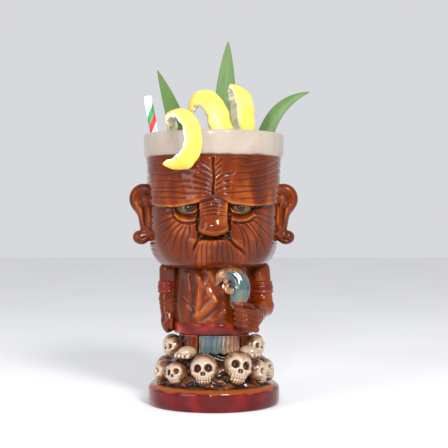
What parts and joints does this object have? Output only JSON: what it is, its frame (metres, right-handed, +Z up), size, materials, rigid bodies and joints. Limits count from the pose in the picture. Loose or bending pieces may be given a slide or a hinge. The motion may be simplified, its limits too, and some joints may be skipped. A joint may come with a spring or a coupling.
{
  "type": "tiki mug",
  "caption": "Tall glazed ceramic tiki mug: a carved head forms the cup, its body stands on a mound of skulls, and a straw, lemon peel and leaves lift out.",
  "frame": {"origin": "centre of the foot disc's resting face", "axes": "+Z up through the cup, the face looks along -Y, the mug's own left side is +X"},
  "size_m": [0.1244, 0.1129, 0.2527],
  "materials": {
    "brown_glaze": "glossy amber-brown glaze that pools darker in the carved lines",
    "cream_glaze": "satin cream glaze",
    "red_glaze": "glossy red glaze over brown",
    "oxblood_glaze": "glossy oxblood glaze that breaks to amber at the edge",
    "dark_glaze": "glossy black-brown glaze",
    "bone_glaze": "semi-gloss bone glaze with brown stain in its hollows",
    "blue_glaze": "glossy mottled blue and tan glaze",
    "olive_glaze": "glossy olive glaze",
    "paper": "white paper with green and red stripes",
    "lemon_peel": "waxy lemon rind with white pith",
    "leaf": "satin green leaf"
  },
  "bodies": {
    "mug": {"rim_band": "cream_glaze", "head_shell": "brown_glaze", "ear_left": "brown_glaze", "ear_right": "brown_glaze", "eye_left": "olive_glaze", "eye_right": "olive_glaze", "torso_shell": "brown_glaze", "belt": "red_glaze", "arm_left": "brown_glaze", "arm_right": "brown_glaze", "armband_left": "brown_glaze", "armband_right": "red_glaze", "crook": "blue_glaze", "loincloth": "blue_glaze", "leg_left": "brown_glaze", "leg_right": "brown_glaze", "foot_left": "bone_glaze", "foot_right": "bone_glaze", "mound_core": "dark_glaze", "foot_disc": "oxblood_glaze", "lower_skull_1": "bone_glaze", "lower_skull_2": "bone_glaze", "lower_skull_3": "bone_glaze", "lower_skull_4": "bone_glaze", "lower_skull_5": "bone_glaze", "lower_skull_6": "bone_glaze", "lower_skull_7": "bone_glaze", "lower_skull_8": "bone_glaze", "lower_skull_9": "bone_glaze", "lower_skull_10": "bone_glaze", "lower_skull_11": "bone_glaze", "upper_skull_1": "bone_glaze", "upper_skull_2": "bone_glaze", "upper_skull_3": "bone_glaze", "upper_skull_4": "bone_glaze", "upper_skull_5": "bone_glaze", "upper_skull_6": "bone_glaze", "upper_skull_7": "bone_glaze"},
    "straw": {"straw": "paper"},
    "peel_front": {"peel_front": "lemon_peel"},
    "peel_middle": {"peel_middle": "lemon_peel"},
    "peel_right": {"peel_right": "lemon_peel"},
    "leaf_left": {"leaf_left": "leaf"},
    "leaf_middle": {"leaf_middle": "leaf"},
    "leaf_right": {"leaf_right": "leaf"}
  },
  "joints": [
    {"name": "straw_lift", "type": "slide", "parent": "mug", "child": "straw", "axis": [-0.1899, 0, 0.9818], "range_m": [0, 0.1]},
    {"name": "peel_front_lift", "type": "slide", "parent": "mug", "child": "peel_front", "axis": [0, 0, 1], "range_m": [0, 0.05]},
    {"name": "peel_middle_lift", "type": "slide", "parent": "mug", "child": "peel_middle", "axis": [0, 0, 1], "range_m": [0, 0.1]},
    {"name": "peel_right_lift", "type": "slide", "parent": "mug", "child": "peel_right", "axis": [0, 0, 1], "range_m": [0, 0.1]},
    {"name": "leaf_left_lift", "type": "slide", "parent": "mug", "child": "leaf_left", "axis": [-0.1191, 0.0298, 0.9924], "range_m": [0, 0.1]},
    {"name": "leaf_middle_lift", "type": "slide", "parent": "mug", "child": "leaf_middle", "axis": [0, 0, 1], "range_m": [0, 0.1]},
    {"name": "leaf_right_lift", "type": "slide", "parent": "mug", "child": "leaf_right", "axis": [0.1483, 0.0198, 0.9887], "range_m": [0, 0.1]}
  ]
}
